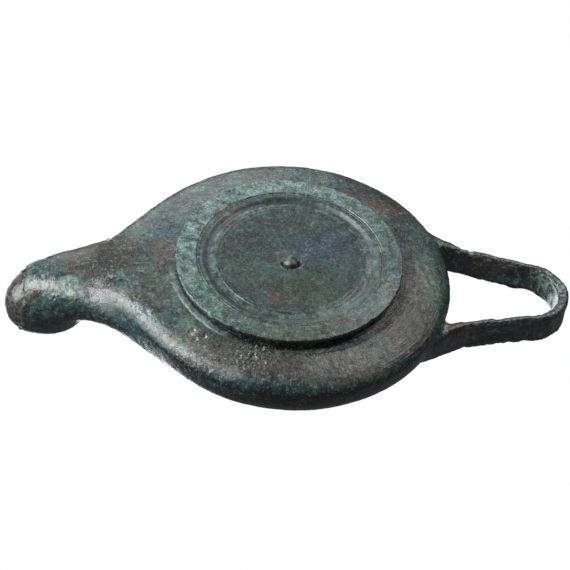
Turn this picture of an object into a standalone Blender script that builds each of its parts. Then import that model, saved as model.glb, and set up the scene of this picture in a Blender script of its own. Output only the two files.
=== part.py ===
"""A bronze oil lamp, cast in one: a flattened hollow body on a turned foot, a
rising nozzle with a bulbous end, and a strap handle set on edge.

Metres, +Z up. The origin is the middle of the plane that the foot stands on.
The nozzle points along +X and the handle along -X.
"""

import math

import bmesh
import bpy
import numpy as np

# Body, turned about the Z axis
BODY_RADIUS = 0.0547
WIDEST_Z = 0.0100
BODY_BELOW = 0.01005  # half height of the rounded side under the widest level
BODY_ABOVE = 0.0188
SIDE_BELOW = 2.2  # fullness of the side: 2 is an ellipse, more is squarer
SIDE_ABOVE = 2.6
GROOVE_Z = 0.0035  # underside just outside the foot
GROOVE_DROP = 0.0020  # how much lower the underside may lie once past the groove
GROOVE_RADIUS = 0.0395
SHOULDER_RADIUS = 0.0440
GROOVE_SOFTNESS = 0.0010

# Nozzle: a flat tapering neck that ends in a bulb
NECK_START_X = 0.6 * BODY_RADIUS
NECK_BACK_X = 0.2 * BODY_RADIUS  # inside the body, where it is cut off
NECK_HALF_WIDTH = (0.0276, 0.0093)
NECK_SWELL = 0.0012  # extra half width midway
NECK_HALF_HEIGHT = (0.0080, 0.0070)
NECK_Z = (0.0154, 0.01675)
NECK_SAG = 0.0020
BULB_CENTRE = (0.0826, 0.0255)  # X and Z
BULB_RADII = (0.0134, 0.0104, 0.0099)
NOZZLE_FULLNESS = 2.25
NECK_END = (0.0060, 0.0110)  # how far before the bulb's middle its rounded end starts, and its length
BODY_BLEND = (0.0015, 0.0130)  # softness of the joint with the body: near the foot, and outside
BLEND_RADII = (0.0360, 0.0540)  # where it starts to soften, and where it is all soft
BULB_BLEND = 0.0125
NOZZLE_RIM_Z = 0.0318
WICK_HOLE_RADIUS = 0.0062

# Casting thickness
WALL = 0.0022
CHAMBER_FLOOR_Z = 0.0048

# Foot
FOOT_RADIUS = 0.0383
FOOT_EDGE = 0.0018
FOOT_NECK_RADIUS = 0.0364
RING_INNER_RADIUS = 0.0317
COVE_INNER_RADIUS = 0.0278
COVE_DEPTH = 0.0012
FILLET_RADIUS = 0.0262
FILLET_HALF_WIDTH = 0.0007
FILLET_DEPTH = 0.0008
RECESS_DEPTH = 0.0009
NUB_RADIUS = 0.0037
NUB_HEIGHT = 0.0009
FOOT_EDGE_ROUND = 0.0004

# Top
DISC_RADIUS = 0.0265
DISC_Z = 0.0267
DISC_RIDGE_Z = 0.0285
DISC_RIDGE_WIDTH = 0.0034
DISC_RIDGE_HEIGHT = 0.0030
DISC_CHAMFER = 0.0010  # slope between the sunk disc and what stands round it
HOLE_RADIUS = 0.0125
HOLE_LIP = 0.0018
HOLE_LIP_HEIGHT = 0.0009
HOLE_CUT_DEPTH = 0.0050

# Handle: one strap, bent into a loop and standing on edge
HANDLE_END_X = 0.0960
STRAP_THICK = 0.0025
STRAP_HALF_HEIGHT = 0.0057
ARM_ROOT = (0.0480, 0.0206)  # centre line at the body: distance back, and to the side
ARM_BEND = (0.0815, 0.0124)  # where the arm turns into the round end
ROOT_INSET = 0.0180  # how far the arms start inside the body
ROOT_BURIED = 0.0060  # the first stretch, where the swelling follows the body from inside
SUNK_RADIUS = 0.0475  # distance from the middle that the outer side keeps to at its start
SUNK_RISE = 0.0074  # and how much that distance has grown at the root
SUNK_POWER = 1.6
ROOT_FLARE = 0.0126  # how far the arm's outer side swells where it starts
FLARE_LENGTH = 0.0240
FLARE_POWER = 1.4
INNER_FLARE = 0.0055  # the same on the inner side, where the fillet is shorter
INNER_POWER = 2.0
END_SWELL = 0.0013  # the strap is thicker at the end of the loop
HANDLE_ROOT_Z = 0.01535
HANDLE_TILT = math.radians(3.6)
STRAP_EDGE_ROUND = 0.0004
STRAP_POINTS = 11  # along each arm, and again round half of the end

HULL_STATIONS = 42
HULL_RAYS = 40
CHAMBER_STATIONS = 30
CHAMBER_RAYS = 28
TURNED_STEPS = 64
SECTION_LIFT = 0.0025  # of the sections' centres above the widest level
LONGEST_RAY = 0.075
HALVINGS = 40
CHAMBER_RISE = (0.0440, 0.0660)  # X range where its roof climbs from the body's to the nozzle's
HIDDEN_GAP = 0.0003  # between the foot's blank and the chamber it must not reach
EPS = 1e-9

SHAPE = "oil_lamp"
CUTTERS = "cutters"


def clear_scene():
    for item in list(bpy.data.objects):
        bpy.data.objects.remove(item, do_unlink=True)
    for name in (SHAPE, CUTTERS):
        old = bpy.data.collections.get(name)
        if old:
            bpy.data.collections.remove(old)


def make_collection(name):
    group = bpy.data.collections.new(name)
    bpy.context.scene.collection.children.link(group)
    return group


def bronze_material():
    material = bpy.data.materials.new("patinated_bronze")
    material.use_nodes = True
    shader = material.node_tree.nodes["Principled BSDF"]
    shader.inputs["Base Color"].default_value = (0.075, 0.105, 0.095, 1.0)
    shader.inputs["Metallic"].default_value = 0.35
    shader.inputs["Roughness"].default_value = 0.55
    return material


# The hull: one smooth surface for the body and the nozzle, given as a level
# function that is negative inside and close to a distance near the surface.


def super_level(offsets, radii, fullness):
    """Rough distance to a rounded box-like ellipsoid, negative inside."""
    total = 0.0
    for offset, radius in zip(offsets, radii):
        total = total + (np.abs(offset) / radius + EPS) ** fullness
    level = total ** (1.0 / fullness)
    slope = 0.0
    for offset, radius in zip(offsets, radii):
        part = (np.abs(offset) / radius + EPS) / level
        slope = slope + (part ** (fullness - 1.0) / radius) ** 2
    return (level - 1.0) / np.sqrt(slope)


def blend_lower(a, b, softness):
    mix = np.clip(0.5 + 0.5 * (b - a) / softness, 0.0, 1.0)
    return b * (1.0 - mix) + a * mix - softness * mix * (1.0 - mix)


def smooth_step(low, high, value):
    t = np.clip((value - low) / (high - low), 0.0, 1.0)
    return t * t * (3.0 - 2.0 * t)


def hull_level(x, y, z):
    r = np.hypot(x, y)
    dz = z - WIDEST_Z
    half = np.where(dz < 0.0, BODY_BELOW, BODY_ABOVE)
    fullness = np.where(dz < 0.0, SIDE_BELOW, SIDE_ABOVE)
    body = super_level((r, dz), (BODY_RADIUS, half), fullness)
    drop = GROOVE_DROP * smooth_step(GROOVE_RADIUS, SHOULDER_RADIUS, r)
    body = -blend_lower(-body, z - (GROOVE_Z - drop), GROOVE_SOFTNESS)

    bulb_x, bulb_z = BULB_CENTRE
    t = np.clip((x - NECK_START_X) / (bulb_x - NECK_START_X), 0.0, 1.0)
    midway = 4.0 * t * (1.0 - t)
    width = NECK_HALF_WIDTH[0] + (NECK_HALF_WIDTH[1] - NECK_HALF_WIDTH[0]) * t
    height = NECK_HALF_HEIGHT[0] + (NECK_HALF_HEIGHT[1] - NECK_HALF_HEIGHT[0]) * t
    spine = NECK_Z[0] + (NECK_Z[1] - NECK_Z[0]) * t - NECK_SAG * midway
    past_end = np.maximum(x - (bulb_x - NECK_END[0]), 0.0)
    neck_radii = (NECK_END[1], width + NECK_SWELL * midway, height)
    neck = super_level((past_end, y, z - spine), neck_radii, NOZZLE_FULLNESS)
    neck = np.maximum(neck, NECK_BACK_X - x)
    bulb = super_level((x - bulb_x, y, z - bulb_z), BULB_RADII, NOZZLE_FULLNESS)

    outward = smooth_step(BLEND_RADII[0], BLEND_RADII[1], r)
    body_blend = BODY_BLEND[0] + (BODY_BLEND[1] - BODY_BLEND[0]) * outward
    return blend_lower(blend_lower(neck, bulb, BULB_BLEND), body, body_blend)


def chamber_level(x, y, z):
    """The hollow: one wall inside the hull, over a flat floor and under the disc and the rim."""
    body_roof = DISC_Z - WALL
    nozzle_roof = NOZZLE_RIM_Z - WALL
    roof = body_roof + (nozzle_roof - body_roof) * smooth_step(CHAMBER_RISE[0], CHAMBER_RISE[1], x)
    inside = np.maximum(hull_level(x, y, z) + WALL, CHAMBER_FLOOR_Z - z)
    return np.maximum(inside, z - roof)


def section_centre_z(x):
    """Height of the point that each section's rays leave from."""
    bulb_x = BULB_CENTRE[0]
    rise = smooth_step(bulb_x - 1.2 * BULB_RADII[0], bulb_x + 0.5 * BULB_RADII[0], x)
    low = WIDEST_Z + SECTION_LIFT
    return low + (BULB_CENTRE[1] - low) * rise


def find_end_x(level, start_x, step):
    """Furthest X inside, along the line of the sections' centres."""
    near = start_x
    far = start_x + step
    for _ in range(HALVINGS):
        middle = 0.5 * (near + far)
        if level(middle, 0.0, section_centre_z(middle)) < 0.0:
            near = middle
        else:
            far = middle
    return near


def ray_reach(level, x, centre_z, aim_y, aim_z):
    """How many times its own length each ray runs before it leaves the level surface."""
    longest = LONGEST_RAY / np.maximum(np.hypot(aim_y, aim_z), 0.0001)
    near = np.zeros_like(longest + x)
    far = near + longest
    for _ in range(HALVINGS):
        middle = 0.5 * (near + far)
        inside = level(x, middle * aim_y, centre_z + middle * aim_z) < 0.0
        near = np.where(inside, middle, near)
        far = np.where(inside, far, middle)
    return near


def hull_object(name, level, stations, rays, material):
    """A loft of closed sections across X, each found along rays from its centre."""
    tip = find_end_x(level, BULB_CENTRE[0], 1.5 * BULB_RADII[0])
    back = find_end_x(level, -0.7 * BODY_RADIUS, -0.4 * BODY_RADIUS)
    turn = np.linspace(0.0, math.pi, stations + 2)
    xs = back + (tip - back) * (0.5 - 0.5 * np.cos(turn))
    xs = xs[1:-1]
    centre = section_centre_z(xs)
    side = ray_reach(level, xs, centre, 1.0, 0.0)
    up = ray_reach(level, xs, centre, 0.0, 1.0)
    down = ray_reach(level, xs, centre, 0.0, -1.0)
    angles = np.linspace(0.0, 2.0 * math.pi, rays, endpoint=False)
    aim_y = np.cos(angles) * side[:, None]
    aim_z = np.sin(angles) * np.where(np.sin(angles) > 0.0, up[:, None], down[:, None])
    grid_x = np.repeat(xs[:, None], rays, axis=1)
    reach = ray_reach(level, grid_x, centre[:, None], aim_y, aim_z)

    work = bmesh.new()
    loops = []
    for i in range(stations):
        loop = []
        for j in range(rays):
            y = reach[i, j] * aim_y[i, j]
            z = centre[i] + reach[i, j] * aim_z[i, j]
            loop.append(work.verts.new((xs[i], y, z)))
        loops.append(loop)
    back_point = work.verts.new((back, 0.0, section_centre_z(back)))
    tip_point = work.verts.new((tip, 0.0, section_centre_z(tip)))
    for low, high in zip(loops, loops[1:]):
        for j in range(rays):
            k = (j + 1) % rays
            work.faces.new((low[j], low[k], high[k], high[j]))
    for j in range(rays):
        k = (j + 1) % rays
        work.faces.new((back_point, loops[0][k], loops[0][j]))
        work.faces.new((tip_point, loops[-1][j], loops[-1][k]))
    bmesh.ops.recalc_face_normals(work, faces=work.faces)
    mesh = bpy.data.meshes.new(name)
    work.to_mesh(mesh)
    work.free()
    mesh.materials.append(material)
    return bpy.data.objects.new(name, mesh)


def turned_object(name, profile, material):
    """A profile in the XZ plane, outer side from top to bottom, spun about Z."""
    mesh = bpy.data.meshes.new(name)
    points = [(r, 0.0, z) for r, z in profile]
    edges = [(i, i + 1) for i in range(len(points) - 1)]
    mesh.from_pydata(points, edges, [])
    mesh.materials.append(material)
    item = bpy.data.objects.new(name, mesh)
    screw = item.modifiers.new("turn", "SCREW")
    screw.axis = "Z"
    screw.steps = TURNED_STEPS
    screw.render_steps = TURNED_STEPS
    screw.use_merge_vertices = True
    screw.merge_threshold = 0.00001
    screw.use_smooth_shade = True
    return item


def arc(centre, radii, start_deg, end_deg, count):
    points = []
    for i in range(count + 1):
        angle = math.radians(start_deg + (end_deg - start_deg) * i / count)
        points.append((centre[0] + radii[0] * math.cos(angle), centre[1] + radii[1] * math.sin(angle)))
    return points


def foot_profile():
    """Down the foot's edge, in across its flat ring, up the cove and over the sunk floor."""
    root_z = CHAMBER_FLOOR_Z - HIDDEN_GAP
    flat_radius = FOOT_RADIUS - FOOT_EDGE_ROUND
    profile = [(0.0, root_z), (FOOT_NECK_RADIUS, root_z), (FOOT_NECK_RADIUS, GROOVE_Z)]
    profile += [(flat_radius, FOOT_EDGE), (FOOT_RADIUS, FOOT_EDGE - FOOT_EDGE_ROUND)]
    profile += [(FOOT_RADIUS, FOOT_EDGE_ROUND), (flat_radius, 0.0)]
    cove_width = RING_INNER_RADIUS - COVE_INNER_RADIUS
    profile += arc((COVE_INNER_RADIUS, 0.0), (cove_width, COVE_DEPTH), 0.0, 90.0, 4)
    profile += [(FILLET_RADIUS + FILLET_HALF_WIDTH, COVE_DEPTH), (FILLET_RADIUS, FILLET_DEPTH)]
    profile += [(FILLET_RADIUS - FILLET_HALF_WIDTH, RECESS_DEPTH)]
    profile += [(NUB_RADIUS, RECESS_DEPTH), (0.75 * NUB_RADIUS, RECESS_DEPTH - 0.7 * NUB_HEIGHT)]
    profile += [(0.4 * NUB_RADIUS, RECESS_DEPTH - NUB_HEIGHT), (0.0, RECESS_DEPTH - NUB_HEIGHT)]
    return profile


def disc_ridge_profile():
    """Raised ring round the sunk disc on top, rooted in the hull."""
    outer = DISC_RADIUS + DISC_RIDGE_WIDTH
    shoulder = DISC_RADIUS + 0.5 * DISC_RIDGE_WIDTH
    low = DISC_RIDGE_Z - DISC_RIDGE_HEIGHT
    crown = arc((shoulder, low), (outer - shoulder, DISC_RIDGE_HEIGHT), 90.0, 0.0, 4)
    return [(0.0, DISC_RIDGE_Z)] + crown + [(0.0, low)]


def disc_cutter_profile():
    """What is turned away above the sunk disc, round the lip of the filling hole."""
    above = NOZZLE_RIM_Z
    below = DISC_Z - HOLE_CUT_DEPTH
    lip_outer = HOLE_RADIUS + HOLE_LIP
    lip_z = DISC_Z + HOLE_LIP_HEIGHT
    profile = [(0.0, above), (DISC_RADIUS, above), (DISC_RADIUS, DISC_Z + DISC_CHAMFER)]
    profile += [(DISC_RADIUS - DISC_CHAMFER, DISC_Z), (lip_outer + DISC_CHAMFER, DISC_Z)]
    profile += [(lip_outer, lip_z), (HOLE_RADIUS, lip_z), (HOLE_RADIUS, below), (0.0, below)]
    return profile


def wick_hole_profile():
    """Slightly flared hole down through the nozzle's rim, into the chamber."""
    top = NOZZLE_RIM_Z + WALL
    bottom = BULB_CENTRE[1] + WALL
    mouth = 1.08 * WICK_HOLE_RADIUS
    return [(0.0, top), (mouth, top), (WICK_HOLE_RADIUS, bottom), (0.0, bottom)]


def rim_cutter():
    """Block that takes the bulb's top off flat."""
    width = 3.0 * BULB_RADII[0]
    height = BULB_RADII[2]
    bpy.ops.mesh.primitive_cube_add(size=1.0, location=(BULB_CENTRE[0], 0.0, NOZZLE_RIM_Z + 0.5 * height))
    block = bpy.context.object
    block.name = "rim_cutter"
    block.scale = (width, width, height)
    for group in list(block.users_collection):
        group.objects.unlink(block)
    return block


def arm_centre_line(count):
    """Plan of half the strap, from inside the body round to the middle of its end."""
    root_x, root_y = ARM_ROOT
    bend_x, bend_y = ARM_BEND
    end_x = HANDLE_END_X - 0.5 * STRAP_THICK
    start_x = root_x - ROOT_INSET
    line = []
    for i in range(count):
        x = start_x + (bend_x - start_x) * i / count
        y = root_y + (bend_y - root_y) * (x - root_x) / (bend_x - root_x)
        line.append((x, y))
    for i in range(count + 1):
        angle = 0.5 * math.pi * i / count
        line.append((bend_x + (end_x - bend_x) * math.sin(angle), bend_y * math.cos(angle)))
    return line


def strap_outline(count):
    """Closed plan outline of the whole strap, seen from above."""
    line = arm_centre_line(count)
    half = 0.5 * STRAP_THICK
    outer = []
    inner = []
    for i, (x, y) in enumerate(line):
        before = line[max(i - 1, 0)]
        after = line[min(i + 1, len(line) - 1)]
        along = (after[0] - before[0], after[1] - before[1])
        length = math.hypot(*along)
        side = (-along[1] / length, along[0] / length)
        if i == len(line) - 1:
            side = (1.0, 0.0)
        near_body = min(1.0, max(0.0, 1.0 - (x - line[0][0] - ROOT_BURIED) / FLARE_LENGTH))
        flare = ROOT_FLARE * near_body**FLARE_POWER
        fillet = INNER_FLARE * near_body**INNER_POWER
        swell = END_SWELL * smooth_step(ARM_BEND[0], HANDLE_END_X, x)
        outer_y = y + side[1] * half + flare
        if x < ARM_ROOT[0]:
            sunk = SUNK_RADIUS + SUNK_RISE * ((x - line[0][0]) / ROOT_INSET) ** SUNK_POWER
            outer_y = min(outer_y, math.sqrt(sunk * sunk - x * x))
        outer.append((-(x + side[0] * half), outer_y))
        inner.append((-(x - side[0] * (half + swell)), y - side[1] * (half + swell) - fillet))
    far_side = outer + [(px, -py) for px, py in reversed(outer[:-1])]
    near_side = inner + [(px, -py) for px, py in reversed(inner[:-1])]
    return far_side + near_side[::-1]


def handle_object(material):
    curve = bpy.data.curves.new("handle_plan", "CURVE")
    curve.dimensions = "2D"
    curve.fill_mode = "BOTH"
    curve.extrude = STRAP_HALF_HEIGHT - STRAP_EDGE_ROUND
    curve.bevel_depth = STRAP_EDGE_ROUND
    curve.bevel_resolution = 1
    curve.offset = -STRAP_EDGE_ROUND
    spline = curve.splines.new("POLY")
    points = strap_outline(STRAP_POINTS)
    spline.points.add(len(points) - 1)
    for point, (x, y) in zip(spline.points, points):
        point.co = (x + ARM_ROOT[0], y, 0.0, 1.0)
    spline.use_cyclic_u = True
    plan = bpy.data.objects.new("handle_plan", curve)
    plan.location = (-ARM_ROOT[0], 0.0, HANDLE_ROOT_Z)
    plan.rotation_euler = (0.0, HANDLE_TILT, 0.0)
    bpy.context.scene.collection.objects.link(plan)
    bpy.context.view_layer.update()
    seen = plan.evaluated_get(bpy.context.evaluated_depsgraph_get())
    mesh = bpy.data.meshes.new_from_object(seen)
    work = bmesh.new()
    work.from_mesh(mesh)
    bmesh.ops.remove_doubles(work, verts=work.verts, dist=0.00001)
    bmesh.ops.recalc_face_normals(work, faces=work.faces)
    work.to_mesh(mesh)
    work.free()
    mesh.materials.clear()
    mesh.materials.append(material)
    item = bpy.data.objects.new("handle_blank", mesh)
    item.matrix_world = plan.matrix_world.copy()
    bpy.data.objects.remove(plan, do_unlink=True)
    bpy.data.curves.remove(curve)
    return item


def add_boolean(item, other, operation):
    modifier = item.modifiers.new(other.name, "BOOLEAN")
    modifier.operation = operation
    modifier.solver = "EXACT"
    modifier.object = other


def build():
    clear_scene()
    shape = make_collection(SHAPE)
    cutters = make_collection(CUTTERS)
    bronze = bronze_material()

    lamp = hull_object("lamp", hull_level, HULL_STATIONS, HULL_RAYS, bronze)
    shape.objects.link(lamp)

    added = [
        turned_object("foot_blank", foot_profile(), bronze),
        turned_object("disc_ridge", disc_ridge_profile(), bronze),
        handle_object(bronze),
    ]
    wick_hole = turned_object("wick_hole", wick_hole_profile(), bronze)
    wick_hole.location = (BULB_CENTRE[0], 0.0, 0.0)
    removed = [
        hull_object("chamber", chamber_level, CHAMBER_STATIONS, CHAMBER_RAYS, bronze),
        turned_object("disc_cutter", disc_cutter_profile(), bronze),
        wick_hole,
        rim_cutter(),
    ]
    for item in added + removed:
        cutters.objects.link(item)
        item.hide_render = True
        item.display_type = "WIRE"
    for item in added:
        add_boolean(lamp, item, "UNION")
    for item in removed:
        add_boolean(lamp, item, "DIFFERENCE")
    lamp.data.shade_smooth()
    lamp.data.set_sharp_from_angle(angle=math.radians(35.0))
    return lamp


build()
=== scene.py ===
from math import copysign, cos, pi, radians, sin, sqrt, tan

import bpy
import bmesh
import numpy as np
from mathutils import Matrix, Quaternion, Vector, noise


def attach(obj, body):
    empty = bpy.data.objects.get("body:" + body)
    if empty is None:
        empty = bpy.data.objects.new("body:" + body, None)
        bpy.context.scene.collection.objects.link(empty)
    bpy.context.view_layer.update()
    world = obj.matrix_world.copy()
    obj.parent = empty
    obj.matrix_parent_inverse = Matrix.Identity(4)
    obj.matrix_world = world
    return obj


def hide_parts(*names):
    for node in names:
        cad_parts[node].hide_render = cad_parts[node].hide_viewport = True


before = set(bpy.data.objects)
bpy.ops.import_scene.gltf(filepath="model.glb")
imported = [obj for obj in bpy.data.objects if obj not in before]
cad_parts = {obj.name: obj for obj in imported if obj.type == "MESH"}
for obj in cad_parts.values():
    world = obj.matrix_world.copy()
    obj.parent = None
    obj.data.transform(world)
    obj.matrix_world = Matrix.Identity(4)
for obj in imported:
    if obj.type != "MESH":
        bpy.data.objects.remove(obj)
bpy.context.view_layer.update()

# The shape is worked out in millimetres and scaled when its mesh is made.
mm = 0.001
tiny = 1e-9


def smoothStep(low, high, value):
    t = np.clip((value - low) / (high - low), 0.0, 1.0)
    return t * t * (3.0 - 2.0 * t)


# The lower of two levels, with the crease between them rounded off
def blendLower(a, b, softness):
    mix = np.clip(0.5 + 0.5 * (b - a) / softness, 0.0, 1.0)
    return b * (1.0 - mix) + a * mix - softness * mix * (1.0 - mix)


# A rounded solid's level: 0 on its surface, negative inside
def superLevel(offsets, radii, fullness):
    total = sum((np.abs(offset) / radius + tiny) ** fullness for offset, radius in zip(offsets, radii))
    level = total ** (1.0 / fullness)
    slope = 0.0
    for offset, radius in zip(offsets, radii):
        part = (np.abs(offset) / radius + tiny) / level
        slope = slope + (part ** (fullness - 1.0) / radius) ** 2
    return (level - 1.0) / np.sqrt(slope)


def partWay(ends, t):
    return ends[0] + (ends[1] - ends[0]) * t


# Body and nozzle

body = {
    "radius": 54.7,
    "widestZ": 10.0,
    "below": 10.05,  # half heights of the rounded side
    "above": 18.8,
    "fullBelow": 2.2,  # 2 is an ellipse, more is squarer
    "fullAbove": 2.6,
    "grooveZ": 3.5,  # shallow groove round the foot
    "grooveDrop": 2.0,
    "grooveSoft": 1.0,
    "groove": (39.5, 44.0),
    "grooveFill": 1.5,  # choked with corrosion towards the nozzle's far side
    "fillAim": (0.8, 0.6),
    "fill": (-30.0, 34.0),
    "wall": 2.2,
    "floorZ": 4.8,  # inside
}
nozzle = {
    "start": 0.6 * body["radius"],
    "buriedEnd": 0.2 * body["radius"],
    "halfWidth": (27.6, 9.3),
    "swell": 1.2,
    "halfHeight": (8.0, 7.0),
    "spineZ": (15.4, 16.75),
    "sag": 2.0,
    "bulbX": 82.6,
    "bulbZ": 25.5,
    "bulbRadii": (13.4, 10.4, 9.9),
    "fullness": 2.25,
    "neckEnd": (6.0, 11.0),  # how far before the bulb's middle, and how long
    "bulbBlend": 12.5,
    "bodyBlend": (1.5, 13.0),
    "blend": (36.0, 54.0),
    "rimZ": 31.8,
    "wickHole": 6.2,
    "roof": (44.0, 66.0),  # the hollow's roof climbs here
}


def hullLevel(x, y, z):
    r = np.hypot(x, y)
    dz = z - body["widestZ"]
    half = np.where(dz < 0.0, body["below"], body["above"])
    fullness = np.where(dz < 0.0, body["fullBelow"], body["fullAbove"])
    bowl = superLevel((r, dz), (body["radius"], half), fullness)
    drop = body["grooveDrop"] * smoothStep(*body["groove"], r)
    towards = body["fillAim"][0] * x + body["fillAim"][1] * y
    filled = body["grooveFill"] * smoothStep(*body["fill"], towards)
    bowl = -blendLower(-bowl, z - (body["grooveZ"] - np.maximum(drop, filled)), body["grooveSoft"])

    t = np.clip((x - nozzle["start"]) / (nozzle["bulbX"] - nozzle["start"]), 0.0, 1.0)
    midway = 4.0 * t * (1.0 - t)
    width = partWay(nozzle["halfWidth"], t)
    height = partWay(nozzle["halfHeight"], t)
    spine = partWay(nozzle["spineZ"], t) - nozzle["sag"] * midway
    pastEnd = np.maximum(x - (nozzle["bulbX"] - nozzle["neckEnd"][0]), 0.0)
    radii = (nozzle["neckEnd"][1], width + nozzle["swell"] * midway, height)
    neck = superLevel((pastEnd, y, z - spine), radii, nozzle["fullness"])
    neck = np.maximum(neck, nozzle["buriedEnd"] - x)
    fromBulb = (x - nozzle["bulbX"], y, z - nozzle["bulbZ"])
    bulb = superLevel(fromBulb, nozzle["bulbRadii"], nozzle["fullness"])
    soft = partWay(nozzle["bodyBlend"], smoothStep(*nozzle["blend"], r))
    return blendLower(blendLower(neck, bulb, nozzle["bulbBlend"]), bowl, soft)


def chamberLevel(x, y, z):
    roofs = (top["discZ"] - body["wall"], nozzle["rimZ"] - body["wall"])
    roof = partWay(roofs, smoothStep(*nozzle["roof"], x))
    inside = np.maximum(hullLevel(x, y, z) + body["wall"], body["floorZ"] - z)
    return np.maximum(inside, z - roof)


loft = {
    "hull": (150, 110),  # sections and rays
    "core": (64, 48),
    "centreZ": body["widestZ"] + 2.5,  # the centre line climbs from here to the bulb's middle
    "climb": (1.2, 0.5),  # from before the bulb to past it, in bulb lengths
    "reach": 75.0,  # how far out the surface is looked for
    "frontReach": 20.0,
    "backFrom": -0.7 * body["radius"],
    "backReach": -22.0,
    "halvings": 34,
}


def sectionCentreZ(x):
    bulbX, reach = nozzle["bulbX"], nozzle["bulbRadii"][0]
    before, after = loft["climb"]
    climbed = smoothStep(bulbX - before * reach, bulbX + after * reach, x)
    return partWay((loft["centreZ"], nozzle["bulbZ"]), climbed)


# How far the surface lies along each ray of a section
def reachAlong(level, x, centreZ, aimY, aimZ):
    longest = loft["reach"] / np.maximum(np.hypot(aimY, aimZ), 0.1)
    near = np.zeros_like(longest + x)
    far = near + longest
    for _ in range(loft["halvings"]):
        middle = 0.5 * (near + far)
        inside = level(x, middle * aimY, centreZ + middle * aimZ) < 0.0
        near = np.where(inside, middle, near)
        far = np.where(inside, far, middle)
    return near


# Where the surface ends along the centre line
def endOf(level, start, step):
    near, far = start, start + step
    for _ in range(loft["halvings"]):
        middle = 0.5 * (near + far)
        if level(middle, 0.0, sectionCentreZ(middle)) < 0.0:
            near = middle
        else:
            far = middle
    return near


def placed(name, data):
    item = bpy.data.objects.new(name, data)
    bpy.context.scene.collection.objects.link(item)
    return item


def newPiece(name, verts, faces):
    mesh = bpy.data.meshes.new(name)
    mesh.from_pydata([tuple(v) for v in verts], [], faces)
    mesh.update()
    return placed(name, mesh)


def faceOutward(item):
    work = bmesh.new()
    work.from_mesh(item.data)
    bmesh.ops.recalc_face_normals(work, faces=work.faces)
    if work.calc_volume(signed=True) < 0.0:
        bmesh.ops.reverse_faces(work, faces=work.faces)
    work.to_mesh(item.data)
    work.free()


# Four-sided faces between rings of as many points each
def bandsOf(rings, count):
    faces = []
    for i in range(rings - 1):
        for j in range(count):
            k = (j + 1) % count
            faces.append((i * count + j, (i + 1) * count + j, (i + 1) * count + k, i * count + k))
    return faces


def loftAlongX(name, level, stations, rays):
    tip = endOf(level, nozzle["bulbX"], loft["frontReach"])
    back = endOf(level, loft["backFrom"], loft["backReach"])
    turn = np.linspace(0.0, pi, stations + 2)[1:-1]
    xs = back + (tip - back) * (0.5 - 0.5 * np.cos(turn))
    centre = sectionCentreZ(xs)
    ways = ((1.0, 0.0), (0.0, 1.0), (0.0, -1.0))
    side, up, down = (reachAlong(level, xs, centre, *way) for way in ways)
    angles = np.linspace(0.0, 2.0 * pi, rays, endpoint=False)
    aimY = np.cos(angles) * side[:, None]
    aimZ = np.sin(angles) * np.where(np.sin(angles) > 0.0, up[:, None], down[:, None])
    gridX = np.repeat(xs[:, None], rays, axis=1)
    reach = reachAlong(level, gridX, centre[:, None], aimY, aimZ)
    verts = np.stack((gridX, reach * aimY, centre[:, None] + reach * aimZ), axis=-1).reshape(-1, 3)
    ends = np.array([(back, 0.0, sectionCentreZ(back)), (tip, 0.0, sectionCentreZ(tip))])
    faces = bandsOf(stations, rays)
    last = (stations - 1) * rays
    for j in range(rays):
        k = (j + 1) % rays
        faces.append((stations * rays, j, k))
        faces.append((stations * rays + 1, last + k, last + j))
    return newPiece(name, np.vstack((verts, ends)) * mm, faces)


# Turned parts: the foot, and the sunk disc on top

foot = {
    "radius": 38.3,
    "neck": 36.2,  # undercut behind the edge
    "edge": 1.7,
    "edgeRound": 0.4,
    "recess": 0.85,  # depth of the sunk floor
    "ring": 31.75,  # where the flat ring ends
    "ringStep": 0.12,  # small drop there
    "stepEdge": (0.1, 0.12),  # its rounding, out and in
    "coveDepth": 1.20,
    "coveFrom": 29.9,
    "coveTo": 27.8,
    "coveShape": (0.6, 0.4),  # share of a straight slope and of a rounded one
    "fillet": (26.2, 0.18, 0.6),  # radius, height and half width of the raised ring
    "floorRise": 1.5,  # width of the rise from the cove to the floor
    "rootZ": 4.5,
    "columns": 288,
    "step": 0.64,
    "lines": (  # radius, depth and half width of each turned line
        (24.0, 0.05, 0.22),
        (25.4, 0.09, 0.22),
        (27.6, 0.07, 0.20),
        (30.3, 0.05, 0.18),
        (31.5, 0.13, 0.18),
        (36.7, 0.03, 0.22),
    ),
}
top = {
    "discRadius": 26.5,
    "discZ": 26.7,
    "ridgeZ": 28.5,
    "ridgeWidth": 3.4,
    "ridgeHeight": 3.0,
    "hole": 12.5,
    "holeDepth": 5.0,
    "lip": 1.8,
    "lipHeight": 0.9,
    "columns": 180,
    "step": 0.9,
    "lines": ((22.6, 0.12, 0.4), (18.4, 0.10, 0.35)),
}


def lineDepth(lines, r):
    depth = 0.0
    for centre, deep, half in lines:
        depth = depth + deep * np.exp(-(((r - centre) / half) ** 2))
    return depth


def footHeight(r):
    ramp = np.clip((foot["coveFrom"] - r) / (foot["coveFrom"] - foot["coveTo"]), 0.0, 1.0)
    straight, rounded = foot["coveShape"]
    ramp = straight * ramp + rounded * ramp * ramp * (3.0 - 2.0 * ramp)
    cove = (foot["coveDepth"] - foot["ringStep"]) * ramp
    out, inward = foot["stepEdge"]
    step = foot["ringStep"] * smoothStep(foot["ring"] + out, foot["ring"] - inward, r)
    centre, high, half = foot["fillet"]
    floor = (foot["recess"] - foot["coveDepth"]) * smoothStep(centre, centre - foot["floorRise"], r)
    fillet = high * np.exp(-(((r - centre) / half) ** 2))
    return cove + step + floor - fillet + lineDepth(foot["lines"], r)


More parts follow.
